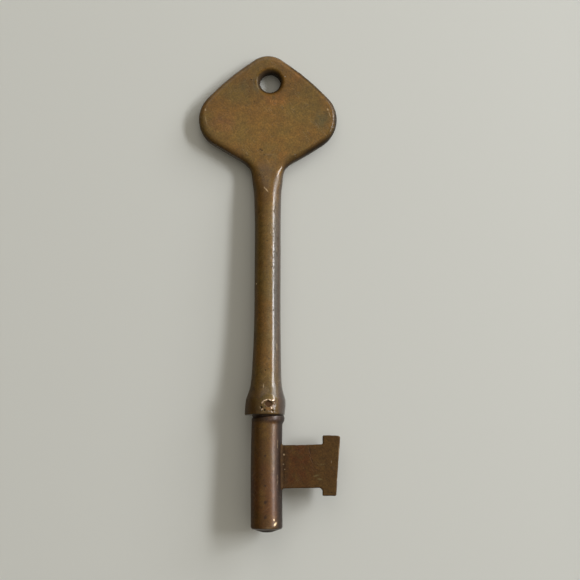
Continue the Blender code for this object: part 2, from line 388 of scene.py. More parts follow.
def casting_field(x, y, z):
    """Bow, shank and collar in one, with the dent, the pin's two bores and the ring hole."""
    above = y - COLLAR_Y
    width, height = shank_width(above), shank_height(above)
    shank = oval_field(x - CAST_X - shank_sway(above), z, width, height)
    shank = smooth_max(shank, -above - COLLAR_DROP, COLLAR_EDGE_ROUND)
    shank = np.maximum(shank, above - SHANK_END)
    away = np.hypot(x - CAST_X - BOW_BULGE[0], y - CREST_Y + BOW_BULGE[1])
    edge = bow_edge(x - CAST_X, y) - BOW_BULGE_HEIGHT * np.exp(-((away / BOW_BULGE_REACH) ** 2))
    bow = cushion_field(edge, z, BOW_HALF_THICKNESS, bow_edge_reach(CREST_Y - y), BOW_EDGE_POWER)
    body = smooth_min(bow, shank, NECK_BLEND)
    dent = ball_field(x, y, z, SHANK_DENT, SHANK_DENT_RADIUS)
    body = smooth_max(body, -dent, DENT_BLEND)
    bore = np.maximum(np.hypot(x - PIN_X, y - PIN_Y) - PIN_BORE_RADIUS, PIN_BORE_FLOOR - np.abs(z))
    body = smooth_max(body, -bore, SHARP_BLEND)
    body = with_punch_pits(body, x, y, z, PIT_CLEARANCE)
    return smooth_max(body, -ring_hole_field(x, y, z), RING_EDGE_ROUND)


def stem_field(x, y, z):
    """The round stem with its bead, and the start of the tenon above it."""
    radius = np.interp(y, stem_line[:, 1], stem_line[:, 0])
    slope = np.interp(y, stem_line[:, 1], stem_slope)
    reach = np.hypot(x - stem_sway(y), z)
    stem = (reach - radius) / np.sqrt(1.0 + slope**2)
    stem = smooth_max(stem, -y, TIP_EDGE_ROUND)
    stem = smooth_max(stem, y - BEAD_TOP - BEAD_TILT * x, BEAD_EDGE_ROUND)
    tenon = np.maximum(reach - TENON_RADIUS, np.abs(y - BEAD_TOP) - TENON_REACH)
    return np.minimum(stem, tenon)


def bit_field(x, y, z):
    """The bit, whose outline is a little wavy from filing by hand."""
    waves = sum(height * np.sin(turn_x * x + turn_y * y) for height, turn_x, turn_y in BIT_WAVES)
    edge = bit_edge(x, y) + waves
    for nick_x, nick_y, radius in BIT_NICKS:
        edge = smooth_max(edge, radius - np.hypot(x - nick_x, y - nick_y), NICK_BLEND)
    return plate_field(edge, z, BIT_HALF_THICKNESS, BIT_EDGE_ROUND)


def braze_field(x, y, z):
    """Fillet of braze in the corners between stem and bit, just under both surfaces elsewhere."""
    fillet = smooth_min(stem_field(x, y, z) + BRAZE_SINK, bit_field(x, y, z) + BRAZE_SINK, BRAZE_BLEND)
    for place, low, high in zip((x, y, z), BRAZE_LOW, BRAZE_HIGH):
        fillet = np.maximum(fillet, np.abs(place - (low + high) / 2) - (high - low) / 2)
    return fillet


def on_collar(x, y, sink):
    """The point of the collar's upper surface over (x, y), sunk a little into it."""
    across = x - CAST_X - shank_sway(y - COLLAR_Y)
    return x, y, float(np.sqrt(COLLAR_RADIUS**2 - across**2)) - sink


def with_punch_pits(body, x, y, z, clearance):
    """The body with the small pits beside the punch mark cut out of it."""
    for pit_x, pit_y, radius in PUNCH_PITS:
        pit = ball_field(x, y, z, on_collar(pit_x, pit_y, 0.0), radius + clearance)
        body = smooth_max(body, -pit, SHARP_BLEND)
    return body


def pin_field(x, y, z):
    """The pin with a head at each end, and the punch mark and its burrs in the upper one."""
    away = np.hypot(x - PIN_X, y - PIN_Y)
    rise = PIN_HEAD_RISE - PIN_HEAD_FALL * (away / PIN_HEAD_RADIUS) ** 4
    barrel = np.hypot(x - CAST_X - shank_sway(y - COLLAR_Y), z) - COLLAR_RADIUS - rise
    body = smooth_max(barrel, away - PIN_HEAD_RADIUS, SHARP_BLEND)
    for start, end, radius in PUNCH_BURRS:
        sink = BURR_SINK * radius
        burr = rod_field(x, y, z, on_collar(*start, sink), on_collar(*end, sink), radius)
        body = smooth_min(body, burr, BURR_BLEND)
    wide, tall = PUNCH_HALF_DIAGONALS
    diamond = np.abs(x - PUNCH[0]) / wide + np.abs(y - PUNCH[1]) / tall
    walls = (diamond - 1.0) * tall * PUNCH_WALL_SLOPE
    sunk = np.maximum(walls, COLLAR_RADIUS - PUNCH_DEPTH - z)
    body = smooth_max(body, -sunk, PUNCH_EDGE_ROUND)
    return with_punch_pits(body, x, y, z, 0.0)


def slope_of(field, points, cell):
    """The field's gradient at the points."""
    step = 0.2 * cell
    parts = []
    for axis in np.eye(3) * step:
        parts.append(field(*(points + axis).T) - field(*(points - axis).T))
    return np.stack(parts, 1) / (2 * step)


def settle(field, points, cell, rounds):
    """Moves points onto the surface along the field's gradient."""
    for _ in range(rounds):
        slope = slope_of(field, points, cell)
        size = np.maximum((slope**2).sum(1), TINY)
        move = -slope * (field(*points.T) / size)[:, None]
        length = np.linalg.norm(move, axis=1, keepdims=True)
        points = points + move * np.minimum(1.0, cell / np.maximum(length, TINY))
    return points


def sampled(field, low, high, cell):
    """A grid round the box: its lowest corner, and which of its points are inside the surface."""
    margin = MARGIN_CELLS * cell
    low = np.array(low, float) - margin
    counts = np.ceil((np.array(high, float) + margin - low) / cell).astype(int) + 1
    x = low[0] + cell * np.arange(counts[0])
    z = low[2] + cell * np.arange(counts[2])
    x, z = np.meshgrid(x, z, indexing="ij")
    inside = np.zeros(counts, bool)
    for row in range(1, counts[1] - 1):
        inside[:, row, :] = field(x, np.full_like(x, low[1] + cell * row), z) < 0.0
    return low, inside


def crossing(inside):
    """The cells that the surface crosses, and quads that join them round each crossed edge."""
    cells = tuple(size - 1 for size in inside.shape)
    full = np.zeros(cells, np.int8)
    for i, j, k in np.ndindex(2, 2, 2):
        full += inside[i : i + cells[0], j : j + cells[1], k : k + cells[2]]
    crossed = (full > 0) & (full < 8)
    ids = np.full(cells, -1)
    ids[crossed] = np.arange(crossed.sum())

    quads = []
    for axis in range(3):
        ahead = np.roll(inside, -1, axis)
        edges = np.argwhere(inside != ahead)
        one, two = np.eye(3, dtype=int)[(axis + 1) % 3], np.eye(3, dtype=int)[(axis + 2) % 3]
        ring = [edges - one - two, edges - two, edges, edges - one]
        faces = np.stack([ids[tuple(corner.T)] for corner in ring], 1)
        from_inside = inside[tuple(edges.T)]
        quads += [faces[from_inside], faces[~from_inside][:, ::-1]]
    return np.argwhere(crossed), np.concatenate(quads)


def evened(field, points, quads, cell):
    """Draws the points towards the middle of their neighbours and back onto the surface."""
    pairs = np.concatenate([quads[:, [a, (a + 1) % 4]] for a in range(4)])
    for _ in range(EVENING_ROUNDS):
        total = np.zeros_like(points)
        for axis in range(3):
            total[:, axis] = np.bincount(pairs[:, 0], points[pairs[:, 1], axis], len(points))
        count = np.bincount(pairs[:, 0], minlength=len(points))[:, None]
        points = (1.0 - EVENING_SHARE) * points + EVENING_SHARE * total / count
        points = settle(field, points, cell, rounds=2)
    return points


def net(name, field, low, high, cell):
    """A closed mesh on a field's surface: one vertex in each cell it crosses, then evened out."""
    corner, inside = sampled(field, low, high, cell)
    crossed, quads = crossing(inside)
    points = settle(field, corner + cell * (crossed + 0.5), cell, rounds=3)
    points = evened(field, points, quads, cell)

    mesh = bpy.data.meshes.new(name)
    mesh.from_pydata(points * MM, [], quads)
    mesh.shade_smooth()
    obj = bpy.data.objects.new(name, mesh)
    bpy.context.scene.collection.objects.link(obj)
    return obj


class Shader:
    """Short calls for adding and linking the nodes of a material."""

    def __init__(self, name):
        self.material = bpy.data.materials.new(name)
        self.material.use_nodes = True
        self.tree = self.material.node_tree
        self.surface = self.tree.nodes["Principled BSDF"]
        self.coords = self.add("ShaderNodeTexCoord")
        self.place = self.coords.outputs["Object"]

    def add(self, kind, inputs=None, **settings):
        node = self.tree.nodes.new(kind)
        for key, value in settings.items():
            setattr(node, key, value)
        for key, value in (inputs or {}).items():
            self.give(node.inputs[key], value)
        return node

    def give(self, socket, value):
        """Links a socket to another's output, or sets its value."""
        if isinstance(value, bpy.types.NodeSocket):
            self.tree.links.new(value, socket)
        else:
            socket.default_value = value

    def math(self, operation, a, b=0.0, clamp=False):
        node = self.add("ShaderNodeMath", {0: a, 1: b}, operation=operation, use_clamp=clamp)
        return node.outputs[0]

    def times(self, a, b):
        return self.math("MULTIPLY", a, b)

    def most(self, a, b):
        return self.math("MAXIMUM", a, b)

    def noise(self, size, detail=3.0, roughness=0.55, seed=0.0, place=None):
        """Noise whose largest features are size millimetres across, from 0 to 1."""
        shift = self.add(
            "ShaderNodeVectorMath", {0: place or self.place, 1: (seed, seed, seed)}, operation="ADD"
        )
        inputs = {
            "Vector": shift.outputs[0],
            "Scale": 1.0 / (size * MM),
            "Detail": detail,
            "Roughness": roughness,
        }
        return self.add("ShaderNodeTexNoise", inputs).outputs["Fac"]

    def between(self, value, low, high, to_low=0.0, to_high=1.0):
        """The value's run from low to high, stretched smoothly to a new range."""
        inputs = {
            "Value": value,
            "From Min": low,
            "From Max": high,
            "To Min": to_low,
            "To Max": to_high,
        }
        node = self.add("ShaderNodeMapRange", inputs, interpolation_type="SMOOTHSTEP")
        return node.outputs[0]

    def mix(self, share, a, b, blend_type="MIX"):
        node = self.add("ShaderNodeMix", data_type="RGBA", blend_type=blend_type)
        self.give(node.inputs["Factor"], share)
        for socket, value in ((node.inputs[6], a), (node.inputs[7], b)):
            self.give(socket, value if isinstance(value, bpy.types.NodeSocket) else (*value, 1.0))
        return node.outputs[2]

    def scaled(self, colour, factor):
        """A colour made brighter or darker."""
        grey = self.add("ShaderNodeCombineColor", {0: factor, 1: factor, 2: factor})
        return self.mix(1.0, colour, grey.outputs[0], "MULTIPLY")

    def spot(self, centre, size, angle=0.0, soft=0.6, depth=1.5):
        """One inside an oval round a point, fading to zero at its rim; sizes are half lengths in mm."""
        inputs = {
            "Vector": self.place,
            "Location": tuple(value * MM for value in centre),
            "Rotation": (0.0, 0.0, math.radians(angle)),
            "Scale": (size[0] * MM, size[1] * MM, depth * MM),
        }
        local = self.add("ShaderNodeMapping", inputs, vector_type="TEXTURE").outputs[0]
        away = self.add("ShaderNodeVectorMath", {0: local}, operation="LENGTH").outputs["Value"]
        return self.between(away, 1.0 - soft, 1.0, 1.0, 0.0)

    def bump(self, height, depth, below=None):
        """A bump of the given depth in millimetres, on top of another one."""
        inputs = {"Height": height, "Distance": depth * MM, "Strength": 1.0}
        if below is not None:
            inputs["Normal"] = below
        return self.add("ShaderNodeBump", inputs).outputs["Normal"]


class Brass(Shader):
    """Brass under a dark oxide film and a thin glossy layer of handling.

    Masks run from 0 to 1. Colour is built up in layers; bare is rubbed metal and painted glints, pitted
    is sunken and dark and painted shade in hollows, scored is scratched, dull is where the glossy layer
    is thin, and the face mask is one on faces that look up or down and zero on flanks, whose colour is
    darkened as painted shade.
    """

    # Depths of the relief and reach of the hollows, in millimetres.
    SWELL_DEPTH = 0.03
    PIT_DEPTH = 0.04
    SCRATCH_DEPTH = 0.01
    HOLLOW_REACH = 0.9

    # What pits, rubbing and a thin glossy layer change.
    ROUGHNESS_SPREAD = 0.06
    PIT_ROUGHER = 0.2
    RUBBED_SMOOTHER = 0.15
    DULL_METAL = 0.15
    PITTED_METAL_SHARE = 0.3
    TARNISHED_GLOSS_SHARE = 0.08

    def __init__(self, name, olive, red, dark, bright):
        super().__init__(name)
        self.dark = dark
        self.bright = bright
        self.bare = 0.0
        self.pitted = 0.0
        self.scored = 0.0
        self.normal = self.add("ShaderNodeSeparateXYZ", {0: self.coords.outputs["Normal"]}).outputs
        # one on faces that look up or down; the flanks' colour is darkened from it as painted shade
        self.faces_not_flanks = self.between(self.math("ABSOLUTE", self.normal["Z"]), 0.35, 0.95)
        self.dull = self.between(self.normal["X"], -0.85, -0.1, 1.0, 0.0)
        clouds = self.between(self.noise(7.0, 4.0, 0.6), 0.36, 0.64)
        self.colour = self.mix(clouds, olive, red)

    def wash(self, mask, colour, strength=1.0):
        """An even layer of another tone."""
        self.colour = self.mix(self.times(mask, strength), self.colour, colour)

    def tint(self, mask, colour, strength):
        """A cloud of another tone with a ragged rim."""
        ragged = self.between(self.noise(1.8, 5.0, 0.6, 4.0), 0.3, 0.6)
        self.wash(self.times(mask, ragged), colour, strength)

    def shade(self, mask, factor):
        """Makes the masked part darker or lighter."""
        self.colour = self.scaled(self.colour, self.between(mask, 0.0, 1.0, 1.0, factor))

    def mottle(self, size, detail, seed, depth):
        """Lighter and darker patches, by depth each way."""
        patches = self.noise(size, detail, 0.7, seed)
        patches = self.between(patches, 0.25, 0.75, 1.0 - depth, 1.0 + depth)
        self.colour = self.scaled(self.colour, patches)

    def leave(self, mask, strength):
        """Seldom handled, so the glossy layer is thin."""
        self.dull = self.most(self.dull, self.times(mask, strength))

    def pit(self, mask, strength=0.9):
        """Dark and sunken; also used as painted shade in the ring hole, at the tip's end and in the
        bit's corner.
        """
        self.pitted = self.most(self.pitted, mask)
        self.wash(mask, self.dark, strength)

    def rub_and_glint(self, mask, strength=1.0):
        """Rubbed through to the bare metal; also paints highlights and glints as bare bright metal."""
        mask = self.times(mask, strength)
        self.bare = self.most(self.bare, mask)
        self.wash(mask, self.bright)

    def scratch(self, angle, seed):
        """Patches of fine straight scratches in one direction."""
        length, width = 2.2 * MM, 0.13 * MM
        inputs = {
            "Vector": self.place,
            "Rotation": (0.0, 0.0, math.radians(angle)),
            "Scale": (length, width, length),
        }
        local = self.add("ShaderNodeMapping", inputs, vector_type="TEXTURE").outputs[0]
        lines = self.noise(1.0 / MM, 1.0, 0.5, seed, local)  # features one unit across in local
        lines = self.between(lines, 0.64, 0.72)
        where = self.between(self.noise(4.0, 2.0, 0.5, seed + 0.3), 0.45, 0.6)
        lines = self.times(lines, where)
        self.scored = self.most(self.scored, lines)
        self.wash(lines, self.bright, 0.08)

    def weather(self, flank=0.5, wear=0.5):
        """Mottling and grain, painted shade on flanks, dark specks, grime with painted shade in
        hollows, and edges worn bright.
        """
        self.mottle(size=1.4, detail=5.0, seed=0.3, depth=0.2)
        self.mottle(size=0.35, detail=3.0, seed=0.6, depth=0.3)
        # painted shade: flanks darker than the faces that look up or down
        self.colour = self.scaled(self.colour, self.between(self.faces_not_flanks, 0.0, 1.0, flank, 1.0))

        specks = self.between(self.noise(0.55, 2.0, 0.5, 0.9), 0.66, 0.74)
        where = self.between(self.noise(5.0, 2.0, 0.5, 1.2), 0.45, 0.6)
        self.pit(self.times(specks, where), 0.75)
        # grime in hollows and painted shade there, both from ambient occlusion
        reach = {"Distance": self.HOLLOW_REACH * MM}
        hollows = self.add("ShaderNodeAmbientOcclusion", reach, samples=8).outputs["AO"]
        self.wash(self.between(hollows, 0.35, 0.85, 0.85, 0.0), self.dark)
        edges = self.between(self.add("ShaderNodeNewGeometry").outputs["Pointiness"], 0.6, 0.7)
        self.rub_and_glint(self.times(edges, self.between(self.noise(1.1, 4.0), 0.4, 0.6)), wear)
        self.scratch(38.0, 2.4)
        self.scratch(-55.0, 2.7)

    def finish(self, metal, roughness, gloss, sheen, grain=0.02):
        """Links the surface; gloss and sheen are the glossy layer's share and roughness."""
        low, high = roughness - self.ROUGHNESS_SPREAD, roughness + self.ROUGHNESS_SPREAD
        rough = self.between(self.noise(0.9, 4.0, 0.65, 1.5), 0.25, 0.75, low, high)
        rough = self.math("ADD", rough, self.times(self.pitted, self.PIT_ROUGHER))
        rough = self.math("SUBTRACT", rough, self.times(self.bare, self.RUBBED_SMOOTHER), clamp=True)
        relief = self.bump(self.noise(2.2, 2.0, 0.5, 1.8), self.SWELL_DEPTH)
        relief = self.bump(self.noise(0.3, 4.0, 0.6, 2.1), grain, relief)
        relief = self.bump(self.math("SUBTRACT", 1.0, self.pitted), self.PIT_DEPTH, relief)
        relief = self.bump(self.math("SUBTRACT", 1.0, self.scored), self.SCRATCH_DEPTH, relief)
        metallic = self.between(self.dull, 0.0, 1.0, metal, metal + self.DULL_METAL)
        pitted_share = self.between(self.pitted, 0.0, 1.0, 1.0, self.PITTED_METAL_SHARE)
        metallic = self.times(metallic, pitted_share)
        tarnish = self.most(self.dull, self.pitted)
        coat = self.between(tarnish, 0.0, 1.0, gloss, self.TARNISHED_GLOSS_SHARE * gloss)

        inputs = self.surface.inputs
        self.give(inputs["Base Color"], self.colour)
        self.give(inputs["Metallic"], self.most(metallic, self.bare))
        self.give(inputs["Roughness"], rough)
        self.give(inputs["Normal"], relief)
        self.give(inputs["Coat Normal"], relief)
        self.give(inputs["Coat Weight"], coat)
        inputs["Coat Roughness"].default_value = sheen
        inputs["Specular IOR Level"].default_value = 0.25
        return self.material


def tint_and_shade_bow(s):
    """Clouds of other tones on the bow; painted light: the face lighter in its middle and darker at its
    crest; painted shade on slopes facing the tip and on the lobe's flank; a grey painted highlight on
    the ring hole's lip; darker at the neck.
    """
    orange, red = (0.3, 0.12, 0.02), (0.2, 0.085, 0.025)
    green, grey = (0.1, 0.08, 0.028), (0.13, 0.1, 0.05)
    for x, y, size, angle, soft, colour, strength in (
        (1.2, 88.6, (3.6, 2.0), 0.0, 0.8, orange, 0.75),
        (-9.1, 83.4, (4.5, 3.5), 0.0, 0.9, red, 0.6),
        (5.8, 93.5, (2.0, 1.4), 40.0, 0.9, orange, 0.45),
        (3.0, 76.8, (2.2, 1.4), 40.0, 0.9, orange, 0.4),
        (11.0, 84.4, (2.6, 3.0), 0.0, 0.8, green, 0.8),
        # painted highlight: a grey sheen on the left slope of the ring hole's lip
        (-2.6, 91.6, (1.5, 2.6), 0.0, 0.9, grey, 0.8),
        (-5.2, 91.4, (1.8, 2.2), 0.0, 0.9, green, 0.5),
        (0.8, 76.0, (1.6, 1.6), 0.0, 0.9, green, 0.5),
    ):
        s.tint(s.spot((x, y, BOW_HALF_THICKNESS), size, angle, soft), colour, strength)
    # painted light: the face lighter in its middle and darker towards the crest
    s.shade(s.spot((-0.5, 82.5, 0.0), (17.0, 10.5), soft=0.8, depth=THROUGH), 1.25)
    s.shade(s.spot((0.0, 92.0, 0.0), (14.0, 7.0), soft=0.8, depth=THROUGH), 0.88)
    s.shade(s.spot((0.0, 70.5, 0.0), (4.0, 6.0), soft=0.7, depth=THROUGH), 0.76)
    # painted shade on the bow's slopes that face the tip
    shaded_shoulders = s.spot((0.0, 76.0, 0.0), (22.0, 12.0), soft=0.3, depth=THROUGH)
    shaded_shoulders = s.times(shaded_shoulders, s.between(s.normal["Y"], -0.7, -0.15, 1.0, 0.0))
    s.wash(shaded_shoulders, (0.07, 0.03, 0.004), 0.6)
    # painted shade on the flank of the lobe on the bit's side
    s.tint(s.spot((14.6, 85.0, 0.0), (1.6, 6.0), soft=0.5, depth=5.0), (0.1, 0.075, 0.05), 0.9)


def tint_and_sheen_shank_and_collar(s):
    """Painted light on the shank and collar: shade on the collar's far side, darker reflection tones on
    the bit's side, a painted sheen and a grey painted highlight along the top; darker round the collar.
    """
    # painted shade: browner on the collar's side away from the lamps
    s.tint(s.spot((-2.5, 25.0, 2.5), (4.0, 4.5), soft=0.7, depth=5.0), (0.13, 0.062, 0.01), 0.8)
    # painted reflection: a warm pinkish tone on the collar's side towards the lamps
    s.wash(s.spot((3.2, 25.5, 2.0), (2.0, 4.5), soft=0.6, depth=5.0), (0.12, 0.06, 0.035), 0.85)
    # painted reflection: darker purplish grey down the shank's flank on the bit's side
    bit_side_reflection = s.spot((3.5, 48.0, 0.0), (2.8, 30.0), soft=0.35, depth=THROUGH)
    s.wash(bit_side_reflection, (0.11, 0.062, 0.036), 0.8)
    # painted sheen beside the shank's highlight, and a grey painted highlight along it
    s.tint(s.spot((0.3, 48.0, 2.7), (0.9, 30.0), soft=0.8, depth=5.0), (0.17, 0.115, 0.045), 0.6)
    s.wash(s.spot((1.4, 48.0, 2.5), (0.8, 30.0), soft=0.7, depth=5.0), (0.11, 0.1, 0.085), 0.85)
    s.shade(s.spot((0.0, 24.0, 0.0), (6.0, 9.0), soft=0.7, depth=THROUGH), 0.7)


def shade_and_dull_rims(s):
    """Painted shade, with a thinner glossy layer, on the lobe's bevel towards the lamps and on the rim
    below it; less glossy at the neck.
    """
    # painted shade on the lobe's bevel that faces the lamps
    lobe = s.spot((12.5, 88.0, 0.0), (12.0, 14.0), soft=0.2, depth=THROUGH)
    s.shade(s.times(lobe, s.between(s.normal["X"], 0.05, 0.45)), 0.5)
    s.leave(s.times(lobe, s.between(s.normal["X"], 0.02, 0.25)), 0.7)
    # painted shade on the rim below the lobe, where it faces the tip
    lower = s.spot((8.0, 75.0, 0.0), (8.0, 8.0), soft=0.4, depth=THROUGH)
    lower = s.times(lower, s.between(s.normal["Y"], -0.4, -0.03, 1.0, 0.0))
    s.shade(lower, 0.7)
    s.leave(lower, 0.6)
    s.leave(s.spot((0.0, 70.5, 0.0), (5.0, 6.0), soft=0.7, depth=THROUGH), 0.35)


def shade_ring_hole(s):
    """Painted shade with dirt in the ring hole and on its lips, where the glossy layer is thin."""
    x, y = CAST_X + RING_HOLE[0], CREST_Y - RING_HOLE[1]
    # painted shade with dirt in the ring hole and on its lips
    s.pit(s.spot((x, y, 0.0), (3.2, 3.2), soft=0.4, depth=4.0), 0.85)
    s.pit(s.spot((x - 0.12, y + 0.12, 0.0), (2.85, 2.85), soft=0.2, depth=THROUGH), 0.75)
    s.leave(s.spot((x, y, 0.0), (3.5, 3.5), soft=0.2, depth=THROUGH), 0.95)


def mark_casting(s):
    """Single pits, nicks and scratches on the bow and the shank."""
    face = BOW_HALF_THICKNESS
    for x, y, size in (
        (-3.81, 92.7, 0.24),
        (-1.8, 77.7, 0.26),
        (-1.45, 77.5, 0.3),
        (-1.0, 76.5, 0.24),
        (2.9, 86.6, 0.2),
    ):
        s.pit(s.spot((x, y, face), (size, 0.75 * size), soft=0.7))
    for x, y, size in ((-1.1, 58.5, 0.2), (-0.25, 58.2, 0.32), (0.35, 58.35, 0.16)):
        s.pit(s.spot((x, y, 2.6), (size, 0.7 * size), soft=0.9), 0.6)
    for x, y, size, angle, strength in (
        (-13.25, 86.2, (0.22, 0.35), 10.0, 0.5),
        (-13.1, 84.0, (0.14, 1.3), 12.0, 0.18),
        (12.2, 86.3, (0.2, 0.35), 30.0, 0.6),
        (12.6, 85.2, (0.14, 0.9), 20.0, 0.3),
    ):
        s.rub_and_glint(s.spot((x, y, face), size, angle), strength)
    for x, angle in ((0.3, -12.0), (0.75, -25.0), (1.45, 4.0)):
        s.wash(s.spot((x, 88.1, face), (0.14, 0.6), angle, soft=0.9), (0.42, 0.19, 0.04))
    s.rub_and_glint(s.spot((-0.4, 68.8, 2.3), (0.75, 0.17), -52.0, soft=0.8), 0.85)
    s.rub_and_glint(s.spot((-0.85, 69.3, 2.3), (0.3, 0.14), -70.0, soft=0.8), 0.6)
    s.rub_and_glint(s.spot((-0.79, 28.7, 3.4), (0.15, 0.6), soft=0.8), 0.5)
    s.rub_and_glint(s.spot((-2.4, 49.5, 1.4), (0.16, 0.16)), 0.8)


def bow_brass():
    """Olive brown, redder below the ring hole and on one side, worn bright on the lobes."""
    s = Brass(
        "bow_patina_and_painted_light",
        olive=(0.17, 0.099, 0.017),
        red=(0.19, 0.092, 0.014),
        dark=(0.03, 0.017, 0.007),
        bright=(0.75, 0.55, 0.3),
    )
    tint_and_shade_bow(s)
    tint_and_sheen_shank_and_collar(s)
    shade_and_dull_rims(s)
    s.weather(flank=0.45, wear=0.2)
    breaks = s.between(s.noise(0.5, 2.0, 0.5, 5.1), 0.54, 0.66)
    s.pit(s.times(breaks, s.spot((1.5, 57.0, 2.4), (1.0, 14.0), soft=0.5, depth=5.0)), 0.3)
    shade_ring_hole(s)
    mark_casting(s)
    return s.finish(metal=0.35, roughness=0.55, gloss=1.0, sheen=0.07, grain=0.022)


def stem_brass():
    """Red brown with golden patches and small pits along the top; painted highlights at the tip,
    painted shade at its end, under the collar and on the flank towards the bit.
    """
    s = Brass(
        "stem_patina_and_painted_light",
        olive=(0.122, 0.057, 0.008),
        red=(0.122, 0.045, 0.008),
        dark=(0.03, 0.015, 0.007),
        bright=(0.75, 0.55, 0.32),
    )
    golden, purple_shade, stain = (0.19, 0.1, 0.016), (0.062, 0.033, 0.025), (0.045, 0.018, 0.006)
    s.tint(s.spot((-0.8, 20.2, 3.0), (1.4, 3.0), soft=0.8), golden, 0.7)
    s.tint(s.spot((-1.0, 6.8, 3.0), (1.2, 4.5), soft=0.9), golden, 0.55)
    # painted reflection: a darker purple tone down the flank on the bit's side
    s.wash(s.spot((2.9, 13.0, 1.5), (2.1, 20.0), soft=0.5, depth=3.5), purple_shade, 0.85)
    # painted shade on the flank towards the bit
    flank = s.between(s.normal["X"], 0.55, 0.85)
    s.shade(flank, 0.72)
    s.leave(flank, 0.55)
    # painted shadow under the collar's overhang, darker on the side away from the lamps
    s.tint(s.spot((0.0, 22.6, 2.0), (4.5, 1.5), soft=0.6, depth=8.0), purple_shade, 0.9)
    s.shade(s.spot((-2.0, 22.4, 2.0), (3.0, 1.1), soft=0.7, depth=8.0), 0.6)
    s.weather(flank=0.5, wear=0.2)
    for x, y, size in ((-0.3, 5.9, 0.65), (-0.3, 3.0, 0.6), (-0.4, 14.9, 0.45), (-0.35, 9.1, 0.45)):
        s.wash(s.spot((x, y, 3.0), (size, 0.8 * size), 45.0, soft=0.9), stain)
    # painted highlight on the tip's rim
    s.rub_and_glint(s.spot((1.65, 1.7, 2.6), (0.28, 0.62), -35.0, soft=0.7), 1.0)
    # painted shade on the tip's end
    s.pit(s.spot((0.0, -0.2, 0.0), (5.0, 1.1), soft=0.3, depth=5.0), 0.1)
    s.shade(s.spot((0.0, -0.2, 0.0), (5.0, 1.0), soft=0.3, depth=5.0), 0.4)
    s.rub_and_glint(s.spot((0.3, 0.95, 2.8), (1.7, 0.22), soft=0.9), 0.25)
    # painted glint just above the tip
    s.rub_and_glint(s.spot((1.4, 2.5, 2.8), (0.2, 0.3), soft=0.8), 0.9)
    # painted highlight in the stem's streak
    s.rub_and_glint(s.spot((1.3, 12.4, 2.8), (0.25, 0.5), soft=0.9), 0.15)
    return s.finish(metal=0.45, roughness=0.55, gloss=0.8, sheen=0.31)


def bit_brass():
    """Matt: red brown at the root, olive at the arm, with dark scratches and pale file marks."""
    s = Brass(
        "bit_patina_and_painted_shade",
        olive=(0.1, 0.051, 0.011),
        red=(0.09, 0.042, 0.01),
        dark=(0.022, 0.011, 0.006),
        bright=(0.6, 0.45, 0.28),
    )
    face = BIT_HALF_THICKNESS
    red, pale, grime = (0.094, 0.03, 0.006), (0.2, 0.15, 0.06), (0.045, 0.026, 0.012)
    s.tint(s.spot((6.0, 13.0, 0.0), (5.0, 8.0), soft=0.7, depth=5.0), red, 0.9)
    s.tint(s.spot((3.4, 13.0, face), (1.4, 6.5), soft=0.7, depth=3.0), grime, 0.6)
    # painted shade in the corner between stem and bit
    s.shade(s.spot((3.0, 13.0, 0.5), (0.5, 7.0), soft=0.5, depth=6.0), 0.88)
    s.weather(flank=0.7)
    for x, y, length, angle in (
        (10.9, 13.3, 1.0, 8.0),
        (9.8, 11.1, 1.1, 15.0),
        (10.4, 10.4, 0.8, -10.0),
    ):
        s.tint(s.spot((x, y, face), (length, 0.3), angle, soft=0.9), pale, 0.7)
    # painted shade in the corner between stem and bit
    s.pit(s.spot((3.1, 13.0, 0.6), (0.5, 7.0), soft=0.5, depth=6.0), 0.12)
    s.pit(s.spot((8.45, 15.9, face), (0.1, 1.2), 12.0, soft=0.7), 0.7)
    s.pit(s.spot((8.85, 14.1, face), (0.1, 0.9), 20.0, soft=0.7), 0.7)
    for x, y, size, strength in (
        (3.3, 15.2, 0.24, 0.9),
        (3.2, 13.3, 0.2, 0.35),
        (3.45, 12.3, 0.15, 0.5),
    ):
        s.rub_and_glint(s.spot((x, y, face), (size, size)), strength)
    s.rub_and_glint(s.spot((12.7, 13.8, face), (0.07, 0.35)), 0.5)
    s.rub_and_glint(s.spot((14.35, 18.9, face), (0.3, 0.25), soft=0.8), 0.7)
    s.rub_and_glint(s.spot((13.9, 10.3, face), (0.16, 0.6), soft=0.8), 0.8)
    s.rub_and_glint(s.spot((14.2, 15.8, face), (0.13, 1.6), soft=0.8), 0.35)
    return s.finish(metal=0.4, roughness=0.6, gloss=0.15, sheen=0.4)


